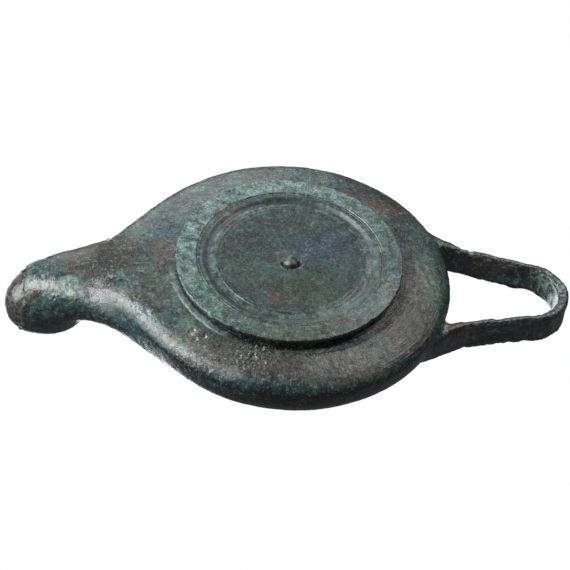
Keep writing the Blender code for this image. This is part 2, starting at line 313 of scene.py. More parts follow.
# Radii of a profile's points, closer together at its lines
def radiiWithDetail(outer, lines, step, extra=()):
    closest = 0.07
    radii = set(np.round(np.arange(step, outer, step), 4))
    for centre, _, half in lines:
        for offset in (-1.5, -0.8, -0.35, 0.0, 0.35, 0.8, 1.5):
            radii.add(round(centre + offset * half, 4))
    radii.update(round(value, 4) for value in extra)
    kept = []
    for value in sorted(radii):
        if value < outer and (not kept or value - kept[-1] > closest):
            kept.append(value)
    return np.array(kept)


def arc(r, z, radii, first, step, count):
    angles = [radians(first - step * i) for i in range(count)]
    return [(r + radii[0] * cos(a), z + radii[1] * sin(a)) for a in angles]


def footProfile():
    edge, neck = foot["edgeRound"], foot["neck"]
    flat = foot["radius"] - edge
    profile = [(0.0, foot["rootZ"]), (neck - 1.2, foot["rootZ"]), (neck - 0.3, body["grooveZ"] + 0.25)]
    profile += [(neck, body["grooveZ"] - 0.15), (neck + 0.35, foot["edge"] + 0.1)]
    profile += arc(flat, foot["edge"] - edge, (edge, edge), 90.0, 22.5, 5)
    profile += [(foot["radius"] + 0.05, 0.5 * foot["edge"])]
    profile += arc(flat, edge, (edge, edge), 0.0, 22.5, 5)
    detail = [foot["ring"] + offset for offset in (0.1, -0.01, -0.12, -0.3, -0.6)]
    detail += [foot["fillet"][0] + offset for offset in (-0.9, -0.6, -0.3, 0.0, 0.3, 0.6, 0.9)]
    detail += list(np.linspace(foot["coveTo"] - 0.15, foot["coveFrom"] + 0.15, 9))
    detail += [0.24 * i for i in range(3, 25)]  # finer round the nub
    for r in radiiWithDetail(flat, foot["lines"], foot["step"], detail)[::-1]:
        profile.append((r, float(footHeight(r))))
    profile.append((0.0, float(footHeight(0.0))))
    return profile


def discRidgeProfile():
    outer = top["discRadius"] + top["ridgeWidth"]
    shoulder = top["discRadius"] + 0.5 * top["ridgeWidth"]
    low = top["ridgeZ"] - top["ridgeHeight"]
    ridge = arc(shoulder, low, (outer - shoulder, top["ridgeHeight"]), 90.0, 11.25, 9)
    return [(0.0, top["ridgeZ"])] + ridge + [(0.0, low)]


def discCutterProfile():
    above = nozzle["rimZ"] + 1.0
    disc, discZ = top["discRadius"], top["discZ"]
    hole, holeZ = top["hole"], discZ - top["holeDepth"]
    lipOuter = hole + top["lip"]
    lipZ = discZ + top["lipHeight"]
    profile = [(0.0, above), (disc + 0.3, above), (disc + 0.1, top["ridgeZ"] - 0.2)]
    profile += [(disc - 0.1, discZ + 0.7), (disc - 0.9, discZ)]
    for r in radiiWithDetail(disc - 1.2, top["lines"], top["step"])[::-1]:
        if r > lipOuter + 1.2:
            profile.append((r, discZ - float(lineDepth(top["lines"], r))))
    profile += [(lipOuter + 0.9, discZ), (lipOuter + 0.2, lipZ - 0.25), (lipOuter - 0.3, lipZ)]
    return profile + [(hole + 0.35, lipZ), (hole, lipZ - 0.35), (hole, holeZ), (0.0, holeZ)]


def wickHoleProfile():
    hole, rim = nozzle["wickHole"], nozzle["rimZ"]
    low = nozzle["bulbZ"] + 2.2  # inside the hollow
    profile = [(0.0, rim + 3.0), (hole + 1.4, rim + 3.0), (hole + 1.0, rim + 0.2)]
    return profile + [(hole + 0.55, rim - 0.25), (hole + 0.25, rim - 1.0), (hole, low), (0.0, low)]


# Faces between two rings, one of which may have fewer points
def stitchRings(faces, outer, inner):
    (start, many), (after, few) = (outer, inner) if outer[1] >= inner[1] else (inner, outer)
    ratio = many // few
    for j in range(many):
        here, there = start + j, start + (j + 1) % many
        if ratio == 1:
            faces.append((here, there, after + (j + 1) % many, after + j))
        else:
            faces.append((here, there, after + j // ratio))
    if ratio > 1 and few > 1:
        for j in range(few):
            faces.append((after + j, after + (j + 1) % few, start + ((j + 1) * ratio) % many))


def turnedPiece(name, profile, columns, centreX=0.0):
    fewest, narrowest = 18, 0.2
    verts, rings, faces = [], [], []
    for r, z in profile:
        count = columns if r > 0.0 else 1
        while count % 2 == 0 and count > fewest and 2.0 * pi * r / count < narrowest:
            count //= 2  # fewer near the centre, so that no face is a sliver
        rings.append((len(verts), count))
        for j in range(count):
            a = 2.0 * pi * j / count
            verts.append((centreX + r * cos(a), r * sin(a), z))
    for outer, inner in zip(rings, rings[1:]):
        stitchRings(faces, outer, inner)
    item = newPiece(name, np.array(verts) * mm, faces)
    faceOutward(item)
    return item


# Handle

handle = {
    "endX": 96.0,
    "thick": 2.5,
    "halfHeight": 5.7,
    "root": (48.0, 20.6),
    "bend": (81.5, 12.4),
    "inset": 18.0,  # how far the arms start inside the body
    "buried": 6.0,  # length before the flare narrows
    "sunkRadius": 47.5,  # the flare there keeps inside this radius, which then grows
    "sunkRise": 7.4,
    "sunkPower": 1.6,
    "flare": 12.6,
    "flareLength": 24.0,
    "flarePower": 1.4,
    "innerFlare": 6.0,
    "endSwell": 1.3,
    "rootZ": 15.35,
    "tilt": radians(3.6),
    "corners": (0.42, 0.36),  # less is squarer
    "wave": (0.03, 0.31),  # hand-worked unevenness of its height
    "slowWave": (0.02, 0.13, 1.0),
    "stations": 90,
    "round": 24,
}


def strapLine(count):
    rootX, rootY = handle["root"]
    bendX, bendY = handle["bend"]
    endX = handle["endX"] - 0.5 * handle["thick"]
    startX = rootX - handle["inset"]
    half = []
    for i in range(count):
        x = startX + (bendX - startX) * i / count
        half.append((x, rootY + (bendY - rootY) * (x - rootX) / (bendX - rootX)))
    bend = count // 2
    for i in range(bend + 1):
        a = 0.5 * pi * i / bend
        half.append((bendX + (endX - bendX) * sin(a), bendY * cos(a)))
    return half + [(x, -y) for x, y in reversed(half[:-1])]


def strapPiece(name):
    n = handle["round"]
    line = strapLine(handle["stations"])
    startX = line[0][0]
    wave, often = handle["wave"]
    slow, seldom, late = handle["slowWave"]
    loops = []
    for i, (x, y) in enumerate(line):
        before, after = line[max(i - 1, 0)], line[min(i + 1, len(line) - 1)]
        along = Vector((after[0] - before[0], after[1] - before[1], 0.0)).normalized()
        side = Vector((-along.y, along.x, 0.0))
        nearBody = min(1.0, max(0.0, 1.0 - (x - startX - handle["buried"]) / handle["flareLength"]))
        outer = 0.5 * handle["thick"] + handle["flare"] * nearBody ** handle["flarePower"]
        if x < handle["root"][0]:  # the start of the flare stays inside the body
            grown = ((x - startX) / handle["inset"]) ** handle["sunkPower"]
            sunk = handle["sunkRadius"] + handle["sunkRise"] * grown
            outer = min(outer, sqrt(sunk * sunk - x * x) - abs(y))
        inner = 0.5 * handle["thick"] + handle["innerFlare"] * nearBody**2
        inner += handle["endSwell"] * float(smoothStep(handle["bend"][0], handle["endX"], x))
        half = handle["halfHeight"] * (1.0 + wave * sin(often * i) - slow * sin(seldom * i + late))
        ring = []
        for k in range(n):
            a = 2.0 * pi * k / n
            c, s = cos(a), sin(a)
            across = copysign(abs(c) ** handle["corners"][0], c)
            upward = copysign(abs(s) ** handle["corners"][1], s)
            reach = outer if across > 0.0 else inner
            point = Vector((x, y, 0.0)) + side * across * reach
            ring.append((-point.x, point.y, upward * half))
        loops.append(ring)
    tilt = Matrix.Rotation(handle["tilt"], 4, "Y")
    toPivot = Vector((handle["root"][0], 0.0, 0.0))
    pivot = Vector((-handle["root"][0], 0.0, handle["rootZ"]))
    verts = [(tilt @ (Vector(p) + toPivot) + pivot) * mm for ring in loops for p in ring]
    ends = [tuple(range(n)), tuple(range((len(loops) - 1) * n, len(loops) * n))[::-1]]
    return newPiece(name, verts, ends + bandsOf(len(loops), n))


# Joining the casting


def applied(item, kind, **settings):
    modifier = item.modifiers.new(kind.lower(), kind)
    for name, value in settings.items():
        setattr(modifier, name, value)
    bpy.context.view_layer.update()
    seen = item.evaluated_get(bpy.context.evaluated_depsgraph_get())
    mesh = bpy.data.meshes.new_from_object(seen)
    item.modifiers.clear()
    item.data = mesh


def combine(item, other, operation):
    faceOutward(other)
    applied(item, "BOOLEAN", operation=operation, solver="MANIFOLD", object=other)
    bpy.data.objects.remove(other, do_unlink=True)


def readPoints(mesh, what):
    flat = np.empty(len(mesh.vertices) * 3, np.float32)
    mesh.vertices.foreach_get(what, flat)
    return flat.reshape(-1, 3).astype(np.float64)


def coordsOf(mesh):
    return readPoints(mesh, "co") / mm


def putCoords(mesh, coords):
    mesh.vertices.foreach_set("co", (coords * mm).astype(np.float32).ravel())
    mesh.update()


def outFromAxis(coords):
    return np.hypot(coords[:, 0], coords[:, 1])


# The hull's level at some points, and the way it grows there
def hullSlope(p):
    h = 0.05
    x, y, z = p.T
    here = hullLevel(x, y, z)
    gx = hullLevel(x + h, y, z) - here
    gy = hullLevel(x, y + h, z) - here
    gz = hullLevel(x, y, z + h) - here
    return here, np.stack((gx, gy, gz), axis=-1) / h


# Moves each point towards the middle of its neighbours, by its weight
def relax(mesh, coords, weight, rounds):
    pairs = np.empty(len(mesh.edges) * 2, np.int32)
    mesh.edges.foreach_get("vertices", pairs)
    here, there = pairs.reshape(-1, 2).T
    count = np.zeros(len(coords))
    np.add.at(count, here, 1.0)
    np.add.at(count, there, 1.0)
    for _ in range(rounds):
        total = np.zeros_like(coords)
        for k in range(3):
            total[:, k] += np.bincount(here, coords[there, k], len(coords))
            total[:, k] += np.bincount(there, coords[here, k], len(coords))
        coords = coords + weight[:, None] * 0.5 * (total / count[:, None] - coords)
    return coords


# What casting, turning and burial left on the surface

relief = {
    "broad": (0.045, 2, 3.1),  # turns per millimetre, octaves, and where the pattern starts
    "dents": (0.15, 3, 11.7),
    "crust": (0.50, 3, 23.3),
    "pitting": (0.42, 2, 41.9),
    "octaves": (0.85, 2.1),  # how fast finer noise fades, and its step
    "broadHeight": 0.20,
    "broadOnFoot": 0.25,  # share of it that the foot has
    "dentsHeight": 0.09,
    "dentsOnFoot": 0.55,
    "crustHeight": 0.085,
    "crustOnFoot": (0.4, 0.3),  # its share there, and what the cove takes off that
    "crustElsewhere": 0.8,
    "pittingDepth": 0.10,
    "pittingFrom": (0.32, 0.62),
    "roughNozzle": 0.015,
    "roughFrom": (30.0, 62.0),  # along X
    "nub": ((0.0, -0.7), 2.7, 0.80),  # middle, radius and height
    "nubMound": ((3.4, 1.1), 3.3, 0.42),
    "crescent": (3.05, 0.5, 2.0, radians(-98.0)),  # radius, half width, depth and direction
    "crescentLip": (1.1, 0.4, 0.28),  # how far outside it, half width and height
    "neckRidge": ((57.0, -16.5), (12.0, 7.5), 0.65, radians(41.0)),
    "rimShift": 0.5,  # the rim of the foot is off centre, towards the nozzle
    "rimShiftFrom": (34.0, 38.0),
    "crustEdgeX": 89.0,  # past it the outer crust has come off the nozzle
    "crustEdge": (0.9, 0.9, 0.05),  # how dents, crust and height make that edge wander
    "crustDepth": 0.26,
    "crustLip": (0.45, 0.4, 0.12),  # how far before that edge, half width and height
    "nick": ((-63.2, 16.8, 10.3), 1.5, 0.75),
    "strapFrom": -54.0,
    "strapEdge": 0.16,
    "edgeChips": 1.1,
    "chipGrain": (21.0, 6.0),  # turns over the rim's radius: chips, and patches of them
    "chipOctaves": (0.6, 2.2, 3),
    "pitShape": (0.7, 0.75, 0.4),  # share of its depth, and how crust and dents fray its outline
}
pits = (  # X, Y, Z, radius and depth
    (73.6, -1.3, 7.9, 1.2, 0.2),
    (78.5, -10.8, 12.3, 0.9, 0.35),
    (51, -17.8, 4.3, 1.1, 0.45),
    (33.4, -32.4, 4.2, 1.6, 0.6),
    (31.6, -35.2, 4.4, 1.2, 0.5),
    (28.9, -34.6, 3.8, 0.8, 0.45),
    (26.6, -33.4, 3.5, 1, 0.5),
    (44.8, 14.6, 3.2, 0.9, 0.3),
    (-47, 22, 5.2, 0.8, 0.3),
    (-36.5, 35, 5.2, 0.9, 0.3),
)
flaw = {  # where the metal ran short, on the near shoulder
    "centre": (13.2, -41.4),
    "size": (8.0, 5.2),
    "lean": radians(38.0),
    "grain": (0.95, 0.42, 0.2),  # turns per millimetre: across the strokes, along them and in depth
    "octaves": (0.7, 2.3, 3),
    "hollows": (0.02, 0.42),  # noise at which they start, and are full
    "between": (0.0, -0.5),
    "fade": (1.15, 0.45),  # at the outline
    "depth": 0.52,
    "shallow": 0.25,  # share of it between the hollows
}


def leaning(x, y, angle):
    c, s = cos(angle), sin(angle)
    return c * x + s * y, c * y - s * x


# A round hill, 1 in the middle and 0 from its radius on
def bump(distance, radius):
    t = np.clip(1.0 - (distance / radius) ** 2, 0.0, 1.0)
    return t * t


# Distance from the flaws' middle, where 1 is their outline
def flawReach(coords):
    (cx, cy), (along, across) = flaw["centre"], flaw["size"]
    x, y, z = coords.T
    farOff = 9.0
    return np.where(z < body["widestZ"], np.hypot((x - cx) / along, (y - cy) / across), farOff)


def flawDepth(coords):
    reach = flawReach(coords)
    wild = np.zeros(len(coords))
    across, along, inDepth = flaw["grain"]
    for i in np.nonzero(reach < 1.4)[0]:
        x, y = leaning(coords[i, 0], coords[i, 1], flaw["lean"])
        cell = Vector((x * across, y * along, inDepth * coords[i, 2]))
        wild[i] = noise.fractal(cell, *flaw["octaves"])
    hollows, others = smoothStep(*flaw["hollows"], wild), smoothStep(*flaw["between"], wild)
    return flaw["depth"] * smoothStep(*flaw["fade"], reach) * (hollows + flaw["shallow"] * others)


# Halves the mesh between the picked points, for finer relief there
def splitFaces(item, picked):
    work = bmesh.new()
    work.from_mesh(item.data)
    work.verts.ensure_lookup_table()
    edges = [e for e in work.edges if picked[e.verts[0].index] and picked[e.verts[1].index]]
    bmesh.ops.subdivide_edges(work, edges=edges, cuts=1, use_grid_fill=True)
    bmesh.ops.triangulate(work, faces=[f for f in work.faces if len(f.verts) > 4])
    work.to_mesh(item.data)
    work.free()


def nearPits(coords):
    near = np.zeros(len(coords), bool)
    for x, y, z, radius, _ in pits:
        gap = np.hypot(coords[:, 0] - x, coords[:, 1] - y)
        near |= (gap < radius + skin["pitMargin"]) & (np.abs(coords[:, 2] - z) < 6.0)
    return near | (flawReach(coords) < 1.1)


def unevenness(coords, name):
    scale, octaves, offset = relief[name]
    shift = Vector((offset, 0.7 * offset, -1.3 * offset))
    kind = (*relief["octaves"], octaves)
    return np.array([noise.fractal(Vector(p) * scale + shift, *kind) for p in coords])


def footMask(coords):
    return (outFromAxis(coords) < foot["radius"] + 0.3) & (coords[:, 2] < foot["edge"] + 0.6)


def nubHeight(coords):
    x, y, z = coords.T
    height = np.zeros(len(coords))
    for (cx, cy), radius, high in (relief["nub"], relief["nubMound"]):
        height = np.maximum(height, high * bump(np.hypot(x - cx, y - cy), radius))
    (cx, cy), _, _ = relief["nub"]
    dx, dy = x - cx, y - cy
    radius, half, deep, way = relief["crescent"]
    facing = smoothStep(-0.05, 0.55, np.cos(np.arctan2(dy, dx) - way))
    gap = np.hypot(dx, dy) - radius
    height -= deep * facing * np.exp(-((gap / half) ** 2))
    away, half, high = relief["crescentLip"]
    height += high * facing * np.exp(-(((gap - away) / half) ** 2))
    return height * (z < foot["edge"] + 0.6)


def chipEdge(coords):
    r = outFromAxis(coords)
    rim = (r > foot["radius"] - 1.4) & (r < foot["radius"] + 0.5) & (coords[:, 2] < foot["edge"] + 0.1)
    chips, patches = relief["chipGrain"]
    wear = np.zeros(len(coords))
    for i in np.nonzero(rim)[0]:
        x, y, z = coords[i] / r[i]
        spot = Vector((x, y, 0.3 * z))
        worn = max(0.0, noise.noise(spot * patches) + 0.25)
        wear[i] = noise.fractal(spot * chips, *relief["chipOctaves"]) * worn
    return relief["edgeChips"] * np.clip(wear, -0.1, 0.8) * rim


def castSkin(coords, crust, dents):
    x, y, z = coords.T
    onFoot = footMask(coords)
    broad = unevenness(coords, "broad")
    height = broad * relief["broadHeight"] * np.where(onFoot, relief["broadOnFoot"], 1.0)
    height += dents * relief["dentsHeight"] * np.where(onFoot, relief["dentsOnFoot"], 1.0)
    fromCove = np.abs(outFromAxis(coords) - 0.5 * (foot["coveFrom"] + foot["coveTo"]))
    share, taken = relief["crustOnFoot"]
    calm = np.where(onFoot, share - taken * smoothStep(2.2, 1.2, fromCove), relief["crustElsewhere"])
    rough = smoothStep(*relief["roughFrom"], x)
    height += crust * (relief["crustHeight"] * calm + relief["roughNozzle"] * rough)
    spots = unevenness(coords, "pitting")
    height -= relief["pittingDepth"] * smoothStep(*relief["pittingFrom"], spots)
    kept, byCrust, byDents = relief["pitShape"]
    for px, py, pz, radius, depth in pits:
        gap = np.sqrt(((coords - (px, py, pz)) ** 2).sum(1))
        height -= kept * depth * bump(gap * (1.0 + byCrust * crust + byDents * dents), radius)
    height -= flawDepth(coords)
    (cx, cy), (along, across), high, lean = relief["neckRidge"]
    dx, dy = leaning(x - cx, y - cy, lean)
    gap = np.hypot(dx / along, dy / across)
    height += high * bump(gap, 1.0) * (z < 14.0)
    byDents, byCrust, byHeight = relief["crustEdge"]
    pastEdge = x - (relief["crustEdgeX"] + byDents * dents + byCrust * crust + byHeight * (z - 18.0))
    before, half, high = relief["crustLip"]
    lip = np.exp(-(((pastEdge + before) / half) ** 2))
    height += -relief["crustDepth"] * smoothStep(-0.25, 0.35, pastEdge) + high * lip * (x > 80.0)
    return height


def wearStrap(height, coords, crust, dents):
    x, y, z = coords.T
    strap = (x < relief["strapFrom"]) & (hullLevel(x, y, z) > 0.8)
    height = height + strap * relief["strapEdge"] * (crust + 0.6 * dents)
    place, radius, depth = relief["nick"]
    gap = np.hypot(x - place[0], 0.8 * (y - place[1]))
    return height - depth * bump(gap, radius) * strap * (z < place[2] + 1.8) * (y > 0.0)


def addRelief(item):
    mesh = item.data
    coords = coordsOf(mesh)
    normals = readPoints(mesh, "normal")
    dents = unevenness(coords, "dents")
    crust = unevenness(coords, "crust")
    height = castSkin(coords, crust, dents) + nubHeight(coords)
    coords[:, :2] *= (1.0 - chipEdge(coords) / foot["radius"])[:, None]
    outer = smoothStep(*relief["rimShiftFrom"], outFromAxis(coords))
    low = smoothStep(foot["edge"] + 1.0, foot["edge"] + 0.1, coords[:, 2])
    coords[:, 0] += relief["rimShift"] * outer * low
    height = wearStrap(height, coords, crust, dents)
    putCoords(mesh, coords + height[:, None] * normals)
    return item


skin = {
    "voxel": 0.62,
    "onHull": 0.35,  # nearer than this to the hull, a point is put on it
    "rootSmooth": 22,  # rounds of smoothing where the arms meet the body
    "rootReach": 5.0,
    "armFrom": (-40.0, 34.0, 7.5, 22.5),  # X, half width, and the height it is between
    "armY": 21.5,  # the arms' middle, and how far round it is smoothed
    "armHalf": 9.0,
    "topFrom": 15.0,  # above this the skin is plainer, and its mesh coarser
    "topKeep": 0.34,
    "pitMargin": 0.5,  # the mesh is finer this far round each pit
    "wickColumns": 72,
    "rimBlock": (40.0, 40.0, 10.0),  # cuts the nozzle's end flat
    "sliver": 0.004,  # shorter edges are closed up
    "cavityRounds": 6,
    "cavityGain": 4.0,
}


# How far each point stands out from its neighbours: 0.5 is level
def addCavities(item):
    mesh = item.data
    coords = coordsOf(mesh)
    smooth = relax(mesh, coords, np.ones(len(coords)), skin["cavityRounds"])
    hollow = ((smooth - coords) * readPoints(mesh, "normal")).sum(1)
    cavity = np.clip(0.5 + skin["cavityGain"] * hollow, 0.0, 1.0)
    layer = mesh.attributes.new("cavity", "FLOAT", "POINT")
    layer.data.foreach_set("value", cavity.astype(np.float32))


# Fewer triangles on the plain upper side
def thinOut(item, isTop, keep):
    group = item.vertex_groups.new(name="top")
    group.add([int(i) for i in np.nonzero(isTop)[0]], 1.0, "REPLACE")
    ratio = 1.0 - (1.0 - keep) * float(isTop.mean())
    applied(item, "DECIMATE", ratio=ratio, vertex_group=group.name)
    item.vertex_groups.clear()


def dropSlivers(item):
    shortest = skin["sliver"] * mm
    work = bmesh.new()
    work.from_mesh(item.data)
    bmesh.ops.triangulate(work, faces=[f for f in work.faces if len(f.verts) > 4])
    bmesh.ops.remove_doubles(work, verts=work.verts, dist=shortest)
    bmesh.ops.dissolve_degenerate(work, dist=shortest, edges=work.edges)
    bmesh.ops.triangulate(work, faces=work.faces)
    seen = {}
    for face in work.faces:
        seen.setdefault(frozenset(v.index for v in face.verts), []).append(face)
    flaps = [face for faces in seen.values() if len(faces) > 1 for face in faces]
    bmesh.ops.delete(work, geom=flaps, context="FACES_ONLY")
    work.to_mesh(item.data)
    work.free()


# Pulls the voxel skin back onto the hull, and smooths the arms into it
def trueUp(mesh):
    coords = coordsOf(mesh)
    here, slope = hullSlope(coords)
    onHull = np.clip(1.0 - (np.abs(here) - skin["onHull"]) / skin["onHull"], 0.0, 1.0)
    coords -= (onHull * here / np.maximum((slope**2).sum(1), 0.05))[:, None] * slope
    behind, half, low, high = skin["armFrom"]
    x, y, z = coords.T
    isHandle = (x < behind) & (np.abs(y) < half) & (z > low) & (z < high)
    near = np.clip(1.0 - np.abs(here) / skin["rootReach"], 0.0, 1.0)
    arm = np.abs(np.abs(y) - skin["armY"]) < skin["armHalf"]
    coords = relax(mesh, coords, near * (isHandle & arm), skin["rootSmooth"])
    putCoords(mesh, coords)
    return coords


def rimCutter():
    size = Vector(skin["rimBlock"]) * mm
    place = Vector((nozzle["bulbX"], 0.0, nozzle["rimZ"] + 0.5 * skin["rimBlock"][2])) * mm
    block = bmesh.new()
    bmesh.ops.create_cube(block, size=1.0)
    bmesh.ops.scale(block, verts=block.verts, vec=size)
    bmesh.ops.translate(block, verts=block.verts, vec=place)
    mesh = bpy.data.meshes.new("rimCut")
    block.to_mesh(mesh)
    block.free()
    return placed("rimCut", mesh)


def makeCasting():
    lamp = loftAlongX("bronzeLamp", hullLevel, *loft["hull"])
    faceOutward(lamp)
    combine(lamp, strapPiece("strap"), "UNION")
    applied(lamp, "REMESH", mode="VOXEL", voxel_size=skin["voxel"] * mm, adaptivity=0.0)
    print("skin", len(lamp.data.vertices), "points")
    coords = trueUp(lamp.data)
    thinOut(lamp, coords[:, 2] > skin["topFrom"], skin["topKeep"])
    splitFaces(lamp, nearPits(coordsOf(lamp.data)))
    addRelief(lamp)
    combine(lamp, addRelief(turnedPiece("footBlank", footProfile(), foot["columns"])), "UNION")
    combine(lamp, addRelief(turnedPiece("ridgeBlank", discRidgeProfile(), top["columns"])), "UNION")
    combine(lamp, loftAlongX("chamberCore", chamberLevel, *loft["core"]), "DIFFERENCE")
    combine(lamp, addRelief(turnedPiece("discCut", discCutterProfile(), top["columns"])), "DIFFERENCE")
    wickCut = turnedPiece("wickCut", wickHoleProfile(), skin["wickColumns"], nozzle["bulbX"])
    combine(lamp, wickCut, "DIFFERENCE")
    combine(lamp, rimCutter(), "DIFFERENCE")
    dropSlivers(lamp)
    addCavities(lamp)
    lamp.data.shade_smooth()
    return lamp


lamp = makeCasting()
print("casting", len(lamp.data.vertices), "points", len(lamp.data.polygons), "triangles")


# Adds a shader node, with values or other nodes' outputs for its inputs
def put(tree, kind, inputs, output=0, **settings):
    node = tree.nodes.new("ShaderNode" + kind)
    for name, value in settings.items():
        setattr(node, name, value)
    for key, value in inputs.items():
        if isinstance(value, bpy.types.NodeSocket):
            tree.links.new(value, node.inputs[key])
        else:
            node.inputs[key].default_value = value
    return node.outputs[output] if node.outputs else None


# Camera, floor and light

look = {  # places in millimetres, roll in degrees
    "from": (57.0, -571.1, -564.9),  # under the floor, so the foot is what it sees
    "at": (1.67, -6.38, 6.62),
    "roll": -5.83,
    "lens": 151.8,
    "sensor": 36.0,
    "clip": (0.01, 20.0),
}


def makeCamera():
    data = bpy.data.cameras.new("camera")
    data.lens = look["lens"]
    data.sensor_width = look["sensor"]
    data.clip_start, data.clip_end = look["clip"]
    camera = placed("camera", data)
    place, aim = Vector(look["from"]) * mm, Vector(look["at"]) * mm
    back = (place - aim).normalized()
    right = Vector((0.0, 0.0, -1.0)).cross(back).normalized()
    upward = back.cross(right)
    turn = Matrix((right, upward, back)).transposed()
    turn = turn @ Matrix.Rotation(radians(look["roll"]), 3, "Z").inverted()
    camera.matrix_world = Matrix.Translation(place) @ turn.to_4x4()
    bpy.context.scene.camera = camera


ground = {"half": 3.0, "colour": (0.82, 0.82, 0.81, 1.0)}


def makeFloor():
    half = ground["half"]
    corners = [(-half, -half, 0.0), (half, -half, 0.0), (half, half, 0.0), (-half, half, 0.0)]
    floor = newPiece("floor", corners, [(0, 1, 2, 3)])
    material = bpy.data.materials.new("paleFloor")
    material.use_nodes = True
    tree = material.node_tree
    tree.nodes.clear()
    pale = put(tree, "BsdfDiffuse", {"Color": ground["colour"]})
    clear = put(tree, "BsdfTransparent", {})  # from below, the floor is see-through
    fromBelow = put(tree, "NewGeometry", {}, "Backfacing")
    put(tree, "OutputMaterial", {"Surface": put(tree, "MixShader", {0: fromBelow, 1: pale, 2: clear})})
    floor.data.materials.append(material)
    floor.visible_shadow = floor.visible_diffuse = floor.visible_glossy = False


lights = (  # name, direction, distance, width, length, turn and power
    ("underKey", (0.68, 0.02, -0.73), 0.75, 0.12, 0.48, 8, 4.4),
    ("underSide", (0.96, 0.12, -0.28), 0.8, 0.7, 0.7, 0, 6),
    ("underFill", (-0.44, 0.4, -0.8), 0.9, 0.5, 0.5, 0, 2.4),
    ("underBack", (0.14, 0.94, -0.3), 0.9, 0.6, 0.6, 0, 1.5),
    ("overKey", (0.35, 0.62, 0.7), 0.85, 0.6, 0.6, 0, 2.8),
    ("overSoft", (-0.25, 0.6, 0.76), 0.85, 0.5, 0.5, 0, 8),
)


def makeLights():
    for name, direction, distance, width, length, turn, power in lights:
        data = bpy.data.lights.new(name, "AREA")
        data.shape = "ELLIPSE"
        data.size, data.size_y, data.energy = width, length, power
        item = placed(name, data)
        aim = Vector(direction).normalized()
        item.location = aim * distance
        turned = Quaternion((0.0, 0.0, 1.0), radians(turn))
        item.rotation_euler = (aim.to_track_quat("Z", "Y") @ turned).to_euler()
        item.visible_camera = False
        item.visible_glossy = not name.endswith("Soft")


studio = {
    "backdrop": (1.0, 1.0, 1.0, 1.0),  # what the camera sees behind the lamp
    "glow": (0.96, 0.98, 1.0, 1.0),  # what lights it from all round
    "glowStrength": 0.12,
}


def makeWorld():
    world = bpy.data.worlds.new("studio")
    world.use_nodes = True
    tree = world.node_tree
    tree.nodes.clear()
    seen = put(tree, "Background", {"Color": studio["backdrop"]})
    soft = put(tree, "Background", {"Color": studio["glow"], "Strength": studio["glowStrength"]})
    direct = put(tree, "LightPath", {}, "Is Camera Ray")
    put(tree, "OutputWorld", {"Surface": put(tree, "MixShader", {0: direct, 1: soft, 2: seen})})
    bpy.context.scene.world = world


makeCamera()
makeFloor()
makeLights()
makeWorld()
bpy.context.scene.view_settings.view_transform = "Standard"
print("studio", len(lights), "lights")

# Patina

patina = {
    "deep": (0.018, 0.042, 0.054),
    "teal": (0.060, 0.128, 0.132),
    "green": (0.076, 0.158, 0.104),
    # pale corrosion; also painted as light in the cove, on the loop's end, on the ring's lit side,
    # beside the foot and along the strap's edge
    "pale": (0.290, 0.440, 0.420),
    "olive": (0.080, 0.080, 0.030),
    "blue": (0.044, 0.098, 0.145),
    "brown": (0.050, 0.034, 0.023),
    "mauve": (0.126, 0.098, 0.080),
    "rust": (0.170, 0.066, 0.030),
    "bare": (0.074, 0.064, 0.057),
    # dark dirt; also painted as shade and shadow on the lower near side and the foot's near edge
    "dirt": (0.012, 0.012, 0.011),
    "ior": 1.7,
    "roughness": (0.08, 0.26),
    "footDull": 0.09,  # rougher there
    "coveDull": 0.10,
    "sunkShade": 0.64,  # darker on the sunk floor
    "tipWander": 2.4,
    "tipBare": 0.9,  # strengths
    "edgeDirtAndShadow": 0.93,
    "hollowDirt": 0.85,
    "scoredDirt": 0.6,
    "lipPaleAndHighlight": 0.45,
    # painted light: the direction the ring grows paler towards, the side the light falls from
    "litSide": (0.50, 0.87, 0.0),  # the way the ring grows paler
    # its pale colour is partly a painted highlight, on the side the light falls from
    "lipRadius": 39.8,  # pale welt of corrosion beside the foot
    "lipTurn": radians(33.0),
    "scoredRadius": 30.7,  # line scored round the ring
    "strapEdge": (1.7, 0.9),  # above the strap's lower edge, fading out and full
    "crustBump": 0.15,  # heights in millimetres
    "footBump": 0.09,
    "fineBump": 0.05,
    "scratchBump": 0.012,
    "lipBump": 0.28,
    "scoredDepth": 0.10,
    "brushBump": 0.30,
    "brushed": ((-36.0, -24.0, 4.0), (18.0, 22.0, 9.0)),  # centre and half sizes
    "latheTurns": (2.2, 1.5),  # outward and round
    "ragged": (0.22, 5.0, 9.0),  # turns per millimetre, detail, and how far stains wander
}
grains = {  # turns per millimetre, detail and roughness
    "clouds": (0.13, 6, 0.62),
    "mottle": (0.34, 6, 0.66),
    "fine": (1.4, 4, 0.7),
    "grit": (0.78, 5, 0.64),
    "specks": (2.1, 2, 0.6),
    "green": (0.19, 5, 0.6),
    "olive": (0.24, 6, 0.68),
    "lathe": (1, 3, 0.6),
}
shifts = {
    "green": (31, 7, 19),
    "olive": (-17, 43, 5),
}
